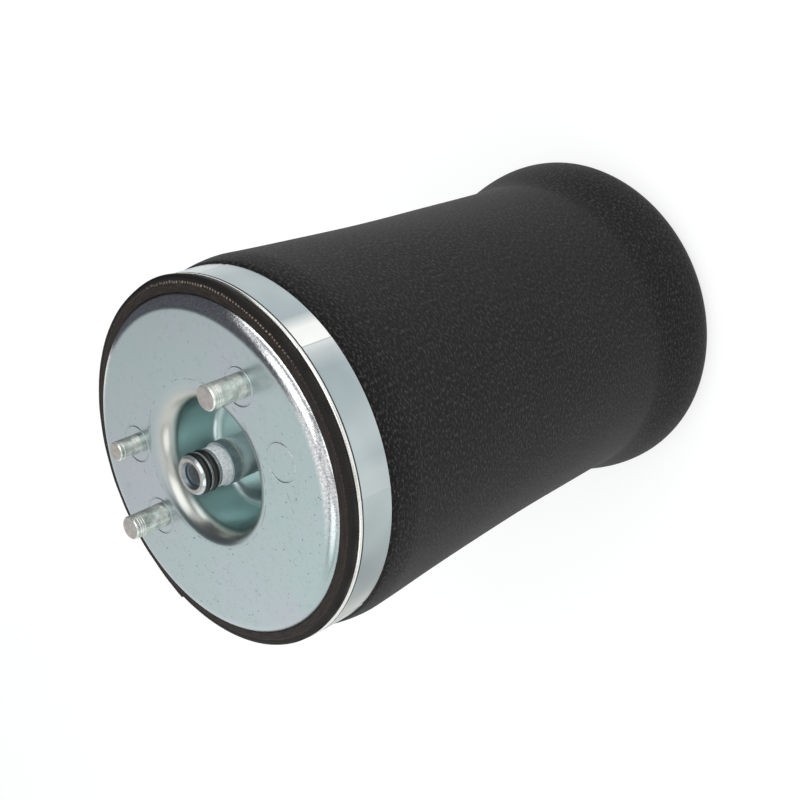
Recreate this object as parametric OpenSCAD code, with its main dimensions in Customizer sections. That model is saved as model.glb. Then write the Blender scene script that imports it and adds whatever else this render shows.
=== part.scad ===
// Air suspension bellows: a rolling-lobe air spring standing on its rolled rubber lobe.
// The axis is Z, the top plate is up, and z = 0 is the lowest point of the lobe.

/* [Top plate] */
// Outer diameter of the plate's skirt, which the sleeve is clamped on
plate_d = 140; // [132:1:146]
// Thickness of the drawn steel sheet
plate_t = 2.5; // [1.5:0.25:3]
// Height of the flat face above the upper edge of the crimp ring
plate_rise = 7.6; // [6.5:0.1:10]
// Radius of the shoulder between the flat face and the skirt
shoulder_r = 6.5; // [5:0.5:8]
// How far the skirt reaches below the crimp ring
skirt_past = 1.5; // [0.5:0.5:4]
// Depth of the three grip grooves rolled into the skirt
grip_depth = 0.6; // [0.2:0.1:1]

/* [Well] */
// Diameter of the well, measured where its rolled lip meets the wall
well_d = 53; // [48:1:58]
// Depth of the well floor below the flat face
well_depth = 26.6; // [22:0.2:30]
// Radius of the rolled lip round the well
lip_r = 9.2; // [7:0.2:11]
// Radius between the wall and the floor of the well
well_fillet = 4.5; // [3:0.5:6]
// Draft angle of the well's wall
well_draft = 6; // [2:1:10]

/* [Pins] */
// Diameter of the two long fixing pins
long_pin_d = 10; // [8:0.5:11]
// Height of the long pins above the flat face
long_pin_h = 15.6; // [12:0.2:20]
// Diameter of the short locating pin
short_pin_d = 8; // [6:0.5:10]
// Height of the short pin above the flat face
short_pin_h = 10.8; // [9:0.2:14]
// Diameter of a pin's head under the plate
pin_head_d = 12; // [11.5:0.1:13]
// Thickness of a pin's head
pin_head_h = 2.5; // [1.5:0.5:4]
// Diameter of the ring mark pressed into the plate round each pin
mark_d = 15.4; // [14:0.2:17]
// Depth of a ring mark
mark_depth = 0.3; // [0.1:0.1:0.6]

/* [Pin places] */
// Long pin A, from the axis towards +X
long_pin_a_x = 40.3; // [39:0.1:45]
// Long pin A, from the axis towards +Y
long_pin_a_y = 23.5; // [21:0.1:26]
// Long pin B, from the axis towards +X
long_pin_b_x = -43.1; // [-46:0.1:-42.5]
// Long pin B, from the axis towards +Y
long_pin_b_y = -10; // [-14:0.1:-9]
// Short pin, from the axis towards +X
short_pin_x = -38.5; // [-42:0.1:-38]
// Short pin, from the axis towards +Y
short_pin_y = 20.8; // [20:0.1:25]
// Blank mark where a fourth pin could be set, from the axis towards +X
blank_mark_x = 46.1; // [44:0.1:50]
// Blank mark, from the axis towards +Y
blank_mark_y = -8; // [-12:0.1:-4]

/* [Air nozzle] */
// Height of the nozzle's tip above the flat face
nozzle_rise = 7.6; // [4:0.2:12]
// Diameter of the nozzle's neck, which the air line's socket slides over
nozzle_d = 16; // [15:0.2:17]
// Diameter of the collar below the neck
collar_d = 18.2; // [17.5:0.1:21]
// Height of the collar
collar_h = 5.2; // [3:0.2:7]
// Length of the neck from the tip to the collar
neck_len = 14.4; // [13.5:0.1:17]
// Diameter of the nozzle's air bore
air_bore_d = 8; // [6:0.2:8.4]
// Diameter of the bore's wider mouth
mouth_d = 9.2; // [8.8:0.1:9.6]
// Depth of that mouth
mouth_depth = 2.2; // [1.6:0.1:4]
// Width of the narrow groove below the inner O-ring
relief_w = 0.45; // [0.3:0.05:0.8]
// Depth of that groove
relief_depth = 0.5; // [0.2:0.1:1]
// Diameter of the threaded stem through the plate
stem_d = 12; // [11.5:0.25:14]
// Section of each nozzle O-ring
o_ring_section = 2.65; // [2:0.05:2.8]
// Width of the metal land between the two O-rings
o_ring_land = 1; // [0.6:0.1:1.4]
// Thickness of the seal under the nozzle's shoulder
seal_t = 1.2; // [0.8:0.1:2]
// Width across the flats of the nozzle's nut
nut_flats = 19; // [18:0.5:22]
// Height of the nozzle's nut
nut_h = 8; // [5:0.5:9]

/* [Crimp rings] */
// Width of the upper crimp ring
crimp_w = 16.8; // [14:0.2:20]
// Thickness of both crimp rings
crimp_t = 1.5; // [1:0.1:2.5]
// Thickness of the rubber squeezed under the upper ring
clamp_rubber = 4.5; // [3.5:0.1:5]
// Number of crimping dies, which leave a ridge between each pair
crimp_dies = 8; // [6:1:12]
// Turn of the first ridge round the axis
die_start = 20.5; // [0:0.5:45]
// Height of the ridge left between two dies
die_ridge = 0.2; // [0.1:0.05:0.4]
// Distance of the dies' fine line from the upper ring's top edge
die_line = 1.3; // [1:0.1:2]
// Width of the lower crimp ring on the piston
low_crimp_w = 14; // [10:0.5:14]

/* [Sleeve] */
// Height of the upper crimp ring's top edge above the bottom of the lobe
sleeve_h = 241.6; // [225:0.2:260]
// Wall thickness of the rubber sleeve
sleeve_wall = 4.2; // [3:0.1:5]
// Height of the sleeve's cut end above the upper crimp ring, at its inner edge
end_proud = 3.8; // [3:0.1:4.5]
// How much lower the cut end's outer edge is
end_slope = 0.4; // [0:0.1:0.8]
// How far the squeezed rubber of the cut end bulges out over the ring's edge
end_bulge = 1.2; // [0.6:0.1:1.4]
// How far the rubber swells past the crimp ring
swell = 2; // [1:0.1:3]
// Depth below the crimp ring at which the sleeve is widest
swell_drop = 12.7; // [9:0.1:18]
// Radius of the narrow waist above the rolled lobe
waist_r = 72.4; // [70:0.1:75]
// Height of the waist above the bottom of the lobe
waist_z = 43; // [34:1:55]
// Largest radius of the flared lobe
rim_r = 78.4; // [76:0.1:80]

/* [Piston] */
// Diameter of the piston, which the sleeve rolls on
piston_d = 104; // [98:0.5:106]
// Diameter of the piston's neck, which the lower end of the sleeve is clamped on
neck_d = 92; // [88:0.5:94]
// Height of the piston
piston_h = 118; // [108:1:124]
// Height of the piston's neck
neck_h = 22; // [20:0.5:26]
// Height of the piston's base above the bottom of the lobe
base_recess = 2; // [1:0.5:8]
// Wall thickness of the moulded piston
piston_wall = 4; // [2.5:0.25:5]
// Thickness of the piston's closed top
deck_t = 6; // [4:0.5:8]
// Number of radial ribs under the piston
rib_count = 8; // [6:1:12]
// Thickness of the ribs
rib_t = 3; // [2:0.25:4]
// Diameter of the ring rib, measured at its middle
ring_rib_d = 60; // [54:1:66]
// Diameter of the piston's central boss
boss_d = 27; // [25:0.5:30]

/* [Lower mount] */
// Diameter of the threaded insert's hole, the core of an M10 thread
insert_hole_d = 8.5; // [6.8:0.1:10.2]
// Outer diameter of the insert
insert_d = 16; // [14:0.5:18]
// Length of the insert
insert_len = 24; // [18:1:30]
// Diameter of the insert's flange at the base
insert_flange_d = 22; // [20:0.5:23]
// Thickness of the insert's flange
insert_flange_t = 2; // [1.5:0.25:3]

/* [Bump stop] */
// Diameter of the bump stop at its base
bump_d = 64; // [56:1:66]
// Diameter of the bump stop at its top
bump_top_d = 52; // [46:1:54]
// Height of the bump stop
bump_h = 50; // [40:1:54]
// Number of bulges up the bump stop
bump_bulges = 3; // [2:1:4]
// Depth of the waists between the bulges
bump_waist = 3.5; // [2:0.25:4.5]
// Diameter of the hollow that clears the nozzle's nut
bump_hollow_d = 31; // [29:0.5:33]
// Depth of that hollow from the top
bump_hollow_h = 32; // [24:1:36]
// Thickness of the pressed cup under the bump stop
cup_t = 1.5; // [1:0.25:2]
// Height of the cup's rim
cup_h = 10; // [6:0.5:12]
// Outside radius of the bend between the cup's floor and its rim
cup_bend = 2.5; // [2.2:0.1:4]
// Diameter of the screw that holds the cup
screw_d = 8; // [6:0.5:9]
// Length of the screw below its head
screw_len = 30; // [20:1:40]
// Diameter of the screw's flanged head
screw_head_d = 16; // [13:0.5:17]
// Height of the screw's head
screw_head_h = 6; // [4:0.5:8]

/* [Clearances] */
// Gap between the sleeve and the metal that grips it at the top
grip_gap = 0.05; // [0.02:0.01:0.1]
// Gap between the rolling sleeve and what moves with the piston
roll_gap = 0.3; // [0.25:0.05:0.5]
// Gap round the nozzle's stem where it passes the plate
stem_gap = 0.1; // [0.05:0.05:0.3]
// Gap between an O-ring and each side of its groove
groove_gap = 0.12; // [0.05:0.01:0.2]
// Gap between the bump stop and its cup
cup_gap = 0.3; // [0.1:0.1:0.6]

/* [Hidden] */
$fn = 96;

// Heights up the axis, from the bottom of the lobe
crimp_top = sleeve_h;
crimp_bottom = crimp_top - crimp_w;
flat_z = crimp_top + plate_rise;
skirt_z = crimp_bottom - skirt_past;
well_z = flat_z - well_depth;
nozzle_z = flat_z + nozzle_rise;
base_z = base_recess;
piston_z = base_z + piston_h;
neck_z = piston_z - neck_h;
cup_z = piston_z + cup_t;

// Radii that pieces share
plate_r = plate_d / 2;
clamp_out = plate_r + clamp_rubber;
crimp_in = clamp_out + grip_gap;
crimp_r = crimp_in + crimp_t;
piston_r = piston_d / 2;
neck_r = neck_d / 2;
roll_r = piston_r + roll_gap;
neck_out = neck_r + roll_gap + sleeve_wall;
low_crimp_in = neck_out + roll_gap;
bulge_r = crimp_r + swell;
lobe_r = (rim_r - roll_r) / 2;
collar_z = nozzle_z - neck_len;
stem_r = stem_d / 2;
nut_r = nut_flats / sqrt(3);
groove_w = o_ring_section + 2 * groove_gap;
groove_r = nozzle_d / 2 - o_ring_section * 0.8;

// Pins and marks on the flat face
long_pin_a_at = [long_pin_a_x, long_pin_a_y];
long_pin_b_at = [long_pin_b_x, long_pin_b_y];
short_pin_at = [short_pin_x, short_pin_y];
blank_mark_at = [blank_mark_x, blank_mark_y];
pin_places = [long_pin_a_at, long_pin_b_at, short_pin_at];
pin_radii = [long_pin_d / 2, long_pin_d / 2, short_pin_d / 2];

// Small edge breaks
edge = 0.6;
mark_w = 0.6;
pin_groove = 0.35;
pin_serration = 0.25;
rib_recess = 1;
seat = 0.1;
eps = 0.01;

// Points on an arc round [x, y] from angle a0 to a1
function arc(x, y, r, a0, a1, n = 8) =
    [for (i = [0 : n]) let (a = a0 + (a1 - a0) * i / n) [x + r * cos(a), y + r * sin(a)]];

// The same list of points, last one first
function backwards(p) = [for (i = [len(p) - 1 : -1 : 0]) p[i]];

// Centre of the rolled lip, and of the well's floor fillet below it on the same tangent
lip_c = [well_d / 2 + lip_r, flat_z - lip_r];
fillet_len = (lip_c[1] + lip_r * sin(well_draft) - well_z - well_fillet * (1 - sin(well_draft)))
             / cos(well_draft);
fillet_c = [lip_c[0] - lip_r * cos(well_draft) - fillet_len * sin(well_draft)
            - well_fillet * cos(well_draft), well_z + well_fillet];

// The plate's surface from the well floor out to the skirt, o below the outer face
function plate_line(o) = concat(
    arc(fillet_c[0], fillet_c[1], well_fillet + o, -90, -well_draft, 6),
    arc(lip_c[0], lip_c[1], lip_r - o, 180 - well_draft, 90, 10),
    arc(plate_r - shoulder_r, flat_z - shoulder_r, shoulder_r - o, 90, 0, 8));

// Three shallow V grooves down the outside of the skirt
grip_pitch = crimp_w / 4;
skirt_grooves = [for (i = [1 : 3], s = [-1 : 1])
    [plate_r - (s == 0 ? grip_depth : 0), crimp_top - i * grip_pitch - s * grip_depth * 1.5]];

module ring_groove(at, r, depth, w) {
    translate([at[0], at[1], flat_z - depth])
        difference() {
            cylinder(r = r + w / 2, h = depth + 1);
            translate([0, 0, -1]) cylinder(r = r - w / 2, h = depth + 3);
        }
}

module top_plate() {
    hole_r = stem_r + stem_gap;
    color("lightsteelblue")
        difference() {
            rotate_extrude()
                polygon(concat([[hole_r, well_z - plate_t], [hole_r, well_z]], plate_line(0),
                    skirt_grooves, [[plate_r, skirt_z], [plate_r - plate_t, skirt_z]],
                    backwards(plate_line(plate_t))));
            for (i = [0 : 2])
                translate([pin_places[i][0], pin_places[i][1], flat_z - plate_t - 1])
                    cylinder(r = pin_radii[i], h = plate_t + 2);
            for (at = concat(pin_places, [blank_mark_at]))
                ring_groove(at, mark_d / 2, mark_depth, mark_w);
        }
}

// A pressed-in pin: head under the plate, serrations above it, two grooves near the chamfered tip
module fixing_pin(at, d, h) {
    r = d / 2;
    tip = flat_z + h;
    under = flat_z - plate_t;
    serrations = [for (i = [0 : 3], s = [0 : 2])
        [r - (s == 1 ? pin_serration : 0), flat_z + 0.8 + i * 0.8 + s * 0.35]];
    grooves = [for (i = [0 : 1], s = [0 : 3])
        [r - (s == 1 || s == 2 ? pin_groove : 0), tip - 4.4 + i * 1.7 + [0, 0.2, 0.8, 1][s]]];
    color("gainsboro")
        translate([at[0], at[1], 0])
            rotate_extrude()
                polygon(concat(
                    [[0, under - pin_head_h], [pin_head_d / 2, under - pin_head_h],
                     [pin_head_d / 2, under], [r, under], [r, flat_z]],
                    serrations, grooves, [[r, tip - edge], [r - edge, tip], [0, tip]]));
}

// O-ring grooves of the nozzle, counted from the tip down, and the land above the relief groove
lead_len = 1.4;
relief_land = 0.75;
function groove_top(i) = nozzle_z - lead_len - i * (groove_w + o_ring_land);

module air_nozzle() {
    bore_r = air_bore_d / 2;
    mouth_r = mouth_d / 2;
    mouth_edge = 1.1;
    r = nozzle_d / 2;
    collar_r = collar_d / 2;
    body_r = collar_r - 0.35;
    shoulder_z = well_z + seal_t;
    stem_z = well_z - plate_t - nut_h - 1.5;
    relief_top = groove_top(1) - groove_w - relief_land;
    relief = [for (s = [0 : 3])
        [s == 0 || s == 3 ? r : r - relief_depth, relief_top - (s < 2 ? relief_w : 0)]];
    grooves = [for (i = [1 : -1 : 0], s = [0 : 3])
        [s == 0 || s == 3 ? r : groove_r, groove_top(i) - (s < 2 ? groove_w : 0)]];
    color("silver")
        rotate_extrude()
            polygon(concat(
                [[bore_r, stem_z], [stem_r - edge, stem_z], [stem_r, stem_z + edge],
                 [stem_r, shoulder_z], [body_r, shoulder_z], [body_r, collar_z - collar_h],
                 [collar_r, collar_z - collar_h + 0.4], [collar_r, collar_z - edge],
                 [collar_r - edge, collar_z], [r, collar_z]],
                relief, grooves,
                [[r, nozzle_z - edge * 1.5], [r - edge * 1.5, nozzle_z],
                 [mouth_r + mouth_edge, nozzle_z], [mouth_r, nozzle_z - mouth_edge],
                 [mouth_r, nozzle_z - mouth_depth], [bore_r, nozzle_z - mouth_depth]]));
}

module nozzle_o_ring(i) {
    color("black")
        translate([0, 0, groove_top(i) - groove_w / 2])
            rotate_extrude()
                translate([groove_r + o_ring_section / 2, 0])
                    circle(d = o_ring_section);
}

module nozzle_seal() {
    color("dimgray")
        translate([0, 0, well_z])
            difference() {
                cylinder(r = collar_d / 2 - 0.5, h = seal_t);
                translate([0, 0, -1]) cylinder(r = stem_r + stem_gap, h = seal_t + 2);
            }
}

module nozzle_nut() {
    color("silver")
        translate([0, 0, well_z - plate_t - nut_h])
            difference() {
                intersection() {
                    cylinder(r = nut_r, h = nut_h, $fn = 6);
                    cylinder(r1 = nut_r - 0.9, r2 = nut_r + nut_h - 0.9, h = nut_h);
                }
                translate([0, 0, -1]) cylinder(r = stem_r + grip_gap, h = nut_h + 2);
            }
}

// The ring is bright-plated steel strip. The dies left a fine line along its top edge, and a low ridge
// where two of them met.
module upper_crimp_ring() {
    lip = 0.5;
    ridge_w = 1.6;
    line_depth = 0.16;
    line_z = crimp_top - die_line;
    line = [[crimp_r, line_z - 0.2], [crimp_r - line_depth, line_z - 0.1],
            [crimp_r - line_depth, line_z + 0.1], [crimp_r, line_z + 0.2]];
    color("silver")
        difference() {
            union() {
                rotate_extrude()
                    polygon(concat([[crimp_in, crimp_bottom], [crimp_r - lip, crimp_bottom],
                        [crimp_r, crimp_bottom + lip]], line, [[crimp_r, crimp_top - lip],
                        [crimp_r - lip, crimp_top], [crimp_in, crimp_top]]));
                for (i = [0 : crimp_dies - 1])
                    rotate([0, 0, die_start + i * 360 / crimp_dies])
                        translate([crimp_r - crimp_t / 2, -ridge_w / 2, crimp_bottom + lip])
                            cube([crimp_t / 2 + die_ridge, ridge_w, crimp_w - 2 * lip - die_line]);
            }
            translate([0, 0, crimp_bottom - 1]) cylinder(r = crimp_in, h = crimp_w + 2);
        }
}

// Radius of the sleeve's outside at height z, between the crimp ring and the lobe's rim
swell_z = crimp_bottom - swell_drop;
swell_start = swell * 0.15;
rim_z = lobe_r;
function sleeve_r(z) =
    z > swell_z ? bulge_r - (swell - swell_start) * pow((z - swell_z) / swell_drop, 2) :
    z > waist_z ? waist_r + (bulge_r - waist_r) * pow((z - waist_z) / (swell_z - waist_z), 2) :
    waist_r + (rim_r - waist_r) * pow(sin(90 * (waist_z - z) / (waist_z - rim_z)), 1.6);

// Heights at which the wall is drawn, from the swell down to the rim
wall_heights = concat(
    [for (i = [0 : 3]) crimp_bottom - 1.5 - (swell_drop - 1.5) * i / 4],
    [for (i = [0 : 15]) swell_z + (waist_z - swell_z) * i / 16],
    [for (i = [0 : 10]) waist_z + (rim_z - waist_z) * i / 10]);

// One moulded piece: outer wall, rolled lobe, and inner wall up to the piston's neck
module bellows_sleeve() {
    top_z = crimp_top + end_proud;
    end_r = (end_proud - end_slope - seat) / 2;
    end_c = [clamp_out + end_bulge - end_r, crimp_top + seat + end_r];
    lobe_c = [rim_r - lobe_r, lobe_r];
    shoulder = piston_r - neck_r;
    arc_z = neck_z - shoulder;
    tail_z = neck_z + neck_h - 2;
    inner_turn = asin(sleeve_wall / (shoulder + roll_gap + sleeve_wall));
    color([0.12, 0.12, 0.12])
        rotate_extrude()
            polygon(concat(
                [[plate_r + grip_gap, top_z]],
                arc(end_c[0], end_c[1], end_r, 90, -acos(1 - end_bulge / end_r), 8),
                [[clamp_out, crimp_bottom]],
                [[crimp_r - 0.4, crimp_bottom - 0.2]],
                [for (z = wall_heights) [sleeve_r(z), z]],
                arc(lobe_c[0], lobe_c[1], lobe_r, 0, -180, 16),
                arc(neck_r, arc_z, shoulder + roll_gap, 0, 90 - 3, 5),
                [[neck_r + roll_gap, neck_z + roll_gap], [neck_r + roll_gap, tail_z], [neck_out, tail_z]],
                arc(neck_r, arc_z, shoulder + roll_gap + sleeve_wall, 90 - inner_turn, 0, 5),
                arc(lobe_c[0], lobe_c[1], lobe_r - sleeve_wall, -180, 0, 12),
                [for (z = backwards(wall_heights)) if (z < skirt_z - 8) [sleeve_r(z) - sleeve_wall, z]],
                [[plate_r + grip_gap, skirt_z]]));
}

module lower_crimp_ring() {
    start = neck_z + sleeve_wall + 0.8;
    lip = 0.4;
    r = low_crimp_in + crimp_t;
    color("silver")
        rotate_extrude()
            polygon([[low_crimp_in, start], [r - lip, start], [r, start + lip],
                [r, start + low_crimp_w - lip], [r - lip, start + low_crimp_w],
                [low_crimp_in, start + low_crimp_w]]);
}

// Moulded piston: ribbed from below, closed on top, with a boss for the insert and the screw
module piston() {
    boss_r = boss_d / 2;
    in_r = piston_r - piston_wall;
    neck_in = neck_r - piston_wall;
    shoulder = piston_r - neck_r;
    under_deck = piston_z - deck_t;
    ring_r = ring_rib_d / 2;
    color([0.2, 0.2, 0.21])
        difference() {
            union() {
                rotate_extrude()
                    polygon(concat(
                        [[in_r, base_z], [piston_r - edge, base_z], [piston_r, base_z + edge]],
                        arc(neck_r, neck_z - shoulder, shoulder, 0, 90, 6),
                        [[neck_r, piston_z - edge], [neck_r - edge, piston_z], [0, piston_z],
                         [0, under_deck], [neck_in, under_deck],
                         [neck_in, neck_z - shoulder - piston_wall],
                         [in_r, neck_z - shoulder * 2 - piston_wall]]));
                translate([0, 0, base_z])
                    cylinder(r1 = boss_r, r2 = boss_r + 1, h = under_deck - base_z + eps);
                translate([0, 0, base_z + rib_recess])
                    difference() {
                        cylinder(r = ring_r + rib_t / 2, h = under_deck - base_z - rib_recess + eps);
                        translate([0, 0, -1])
                            cylinder(r = ring_r - rib_t / 2, h = under_deck - base_z - rib_recess + 1);
                    }
                intersection() {
                    for (i = [0 : rib_count - 1])
                        rotate([0, 0, i * 360 / rib_count])
                            translate([boss_r - 2, -rib_t / 2, base_z + rib_recess])
                                cube([piston_r, rib_t, under_deck - base_z - rib_recess + eps]);
                    rotate_extrude()
                        polygon([[0, base_z], [in_r + 1, base_z],
                            [in_r + 1, neck_z - shoulder * 2 - piston_wall],
                            [neck_in + 1, neck_z - shoulder - piston_wall],
                            [neck_in + 1, under_deck + 1], [0, under_deck + 1]]);
                }
            }
            translate([0, 0, base_z - 1]) cylinder(d = insert_d, h = insert_len + 1);
            translate([0, 0, base_z - 1]) cylinder(d = insert_flange_d, h = insert_flange_t + 1);
            translate([0, 0, piston_z - screw_len + cup_t]) cylinder(d = screw_d, h = screw_len + 1);
        }
}

module mount_insert() {
    chamfer = 0.8;
    r = insert_hole_d / 2;
    color("lightgray")
        translate([0, 0, base_z])
            rotate_extrude()
                polygon([[r + chamfer, 0], [insert_flange_d / 2, 0],
                    [insert_flange_d / 2, insert_flange_t], [insert_d / 2, insert_flange_t],
                    [insert_d / 2, insert_len], [r, insert_len], [r, chamfer]]);
}

module bump_stop() {
    steps = 12 * bump_bulges;
    head_r = screw_head_d / 2 + 1.5;
    hollow_r = bump_hollow_d / 2;
    foot = cup_bend - cup_t + cup_gap;
    outline = [for (i = [0 : steps]) let (t = i / steps)
        [(bump_d + (bump_top_d - bump_d) * t) / 2
         - bump_waist * (0.5 + 0.5 * cos(360 * bump_bulges * t)) * (i == 0 ? 0 : 1),
         cup_z + bump_h * t]];
    color("khaki")
        rotate_extrude()
            polygon(concat(
                [[head_r, cup_z], [bump_d / 2 - foot, cup_z], [bump_d / 2, cup_z + foot],
                 [bump_d / 2, cup_z + cup_h]],
                [for (p = outline) if (p[1] > cup_z + cup_h) p],
                [[hollow_r, cup_z + bump_h], [hollow_r, cup_z + bump_h - bump_hollow_h],
                 [head_r, cup_z + bump_h - bump_hollow_h]]));
}

module bump_stop_cup() {
    in_r = bump_d / 2 + cup_gap;
    color("silver")
        rotate_extrude()
            polygon(concat([[screw_d / 2, piston_z]],
                arc(in_r + cup_t - cup_bend, piston_z + cup_bend, cup_bend, -90, 0, 4),
                [[in_r + cup_t, piston_z + cup_h], [in_r, piston_z + cup_h]],
                arc(in_r + cup_t - cup_bend, piston_z + cup_bend, cup_bend - cup_t, 0, -90, 4),
                [[screw_d / 2, cup_z]]));
}

module bump_stop_screw() {
    r = screw_head_d / 2;
    flange_t = 1.6;
    socket_flats = 8;
    color("silver")
        difference() {
            union() {
                translate([0, 0, cup_z - screw_len]) cylinder(d = screw_d, h = screw_len + flange_t);
                translate([0, 0, cup_z]) cylinder(r1 = r, r2 = r - 0.8, h = flange_t);
                translate([0, 0, cup_z]) cylinder(r = r * 0.78, h = screw_head_h);
            }
            translate([0, 0, cup_z + flange_t])
                cylinder(r = socket_flats / 2 / cos(30), h = screw_head_h, $fn = 6);
        }
}

top_plate();
fixing_pin(long_pin_a_at, long_pin_d, long_pin_h);  // long_pin_a
fixing_pin(long_pin_b_at, long_pin_d, long_pin_h);  // long_pin_b
fixing_pin(short_pin_at, short_pin_d, short_pin_h);  // short_pin
air_nozzle();
nozzle_o_ring(0);  // nozzle_o_ring_outer
nozzle_o_ring(1);  // nozzle_o_ring_inner
nozzle_seal();
nozzle_nut();
upper_crimp_ring();
bellows_sleeve();
lower_crimp_ring();
piston();
mount_insert();
bump_stop();
bump_stop_cup();
bump_stop_screw();
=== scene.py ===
import math

import bmesh
import bpy
import numpy as np
from mathutils import Matrix, Vector


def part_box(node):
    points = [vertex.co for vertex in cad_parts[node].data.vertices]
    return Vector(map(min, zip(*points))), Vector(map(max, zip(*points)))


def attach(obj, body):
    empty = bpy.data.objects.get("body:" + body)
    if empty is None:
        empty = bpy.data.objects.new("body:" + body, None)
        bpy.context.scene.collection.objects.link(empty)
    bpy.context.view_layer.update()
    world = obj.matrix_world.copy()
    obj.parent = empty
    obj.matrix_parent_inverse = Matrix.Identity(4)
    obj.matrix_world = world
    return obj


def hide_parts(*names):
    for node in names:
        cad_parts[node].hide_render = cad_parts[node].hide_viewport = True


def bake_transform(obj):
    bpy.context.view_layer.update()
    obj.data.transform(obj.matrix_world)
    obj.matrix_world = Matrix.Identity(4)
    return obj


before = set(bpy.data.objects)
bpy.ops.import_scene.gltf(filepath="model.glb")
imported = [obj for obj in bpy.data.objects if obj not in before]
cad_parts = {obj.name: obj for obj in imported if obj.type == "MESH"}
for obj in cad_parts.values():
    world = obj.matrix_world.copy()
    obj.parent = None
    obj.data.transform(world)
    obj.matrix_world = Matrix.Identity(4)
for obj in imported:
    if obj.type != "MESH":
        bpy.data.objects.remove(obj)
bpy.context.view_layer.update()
mm = 0.001


def boxOf(node):
    low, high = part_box(node)
    return np.array(low) / mm, np.array(high) / mm


# Sizes that several pieces share, in millimetres. The skirt's edge lies skirtLift above the plate's lowest
# point, and the ring's groove grooveDrop under its top. Two of the ring's dies met at "first", in degrees
plateForm = {"thickness": 2.5, "shoulder": 6.5, "wellDepth": 26.6, "skirtLift": 3.2}
crimp = {"outer": 76.05, "inner": 74.55, "dies": 8, "first": 20.5, "grooveDrop": 1.5}
pinRadius = {"long_pin_a": 5, "long_pin_b": 5, "short_pin": 4}
blankMark = (46.1, -8)  # a stamped ring with no pin in it

# Heights and radii read from the frame
plateLow, plateHigh = boxOf("top_plate")
ringBottom, ringTop = (corner[2] for corner in boxOf("upper_crimp_ring"))
nozzleBottom, nozzleTip = (corner[2] for corner in boxOf("air_nozzle"))
rimRadius = boxOf("bellows_sleeve")[1][0]
flatHeight, plateRadius = plateHigh[2], plateHigh[0]
wellFloor = flatHeight - plateForm["wellDepth"]
skirtHeight = plateLow[2] + plateForm["skirtLift"]


# Shapes: everything here is in millimetres, and becomes metres when the mesh is made

def newObject(name, data):
    made = bpy.data.objects.new(name, data)
    bpy.context.scene.collection.objects.link(made)
    return made


# 0 before start, 1 past end, and even in between
def progress(value, start, end):
    return np.clip((value - start) / (end - start), 0, 1)


# The same share with soft ends: 3 s squared minus 2 s cubed
def eased(share):
    return share * share * (3 - 2 * share)


# A line through corners (radius, height, fillet): each corner is cut by an arc of its fillet,
# tangent to both sides, with a point for every stepDegrees of turn
def roundedLine(corners, closed=True, stepDegrees=12):
    points = np.array([c[:2] for c in corners], float)
    line = []
    for i, corner in enumerate(corners):
        fillet = corner[2] if len(corner) > 2 else 0
        if fillet == 0 or (not closed and i in (0, len(corners) - 1)):
            line.append(points[i][None])
            continue
        back = points[i - 1] - points[i]
        ahead = points[(i + 1) % len(points)] - points[i]
        back, ahead = back / np.linalg.norm(back), ahead / np.linalg.norm(ahead)
        half = math.acos(np.clip(back @ ahead, -1, 1)) / 2
        middle = (back + ahead) / np.linalg.norm(back + ahead)
        centre = points[i] + middle * fillet / math.sin(half)
        first = points[i] + back * fillet / math.tan(half) - centre
        turn = math.pi - 2 * half
        side = math.copysign(1, first[0] * (-middle[1]) - first[1] * (-middle[0]))
        a = np.linspace(0, turn * side, max(3, int(math.degrees(turn) / stepDegrees) + 2))
        line.append(centre + np.stack([first[0] * np.cos(a) - first[1] * np.sin(a),
                                       first[0] * np.sin(a) + first[1] * np.cos(a)], 1))
    return np.concatenate(line)


# Points x = cx + r cos a, y = cy + r sin a, with a from a0 to a1 in degrees
def arc(cx, cy, r, a0, a1, count):
    a = np.radians(np.linspace(a0, a1, count))
    return np.stack([cx + r * np.cos(a), cy + r * np.sin(a)], 1)


# Merges points closer than gap, and joins faces that meet at less than flatDegrees
def merge(mesh, gap, flatDegrees=0):
    work = bmesh.new()
    work.from_mesh(mesh)
    bmesh.ops.remove_doubles(work, verts=work.verts, dist=gap)
    if flatDegrees:
        bmesh.ops.dissolve_limit(work, angle_limit=math.radians(flatDegrees), verts=work.verts,
                                 edges=work.edges)
    work.to_mesh(mesh)
    work.free()


def markSharp(mesh, degrees):
    mesh.shade_smooth()
    mesh.set_sharp_from_angle(angle=math.radians(degrees))


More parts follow.
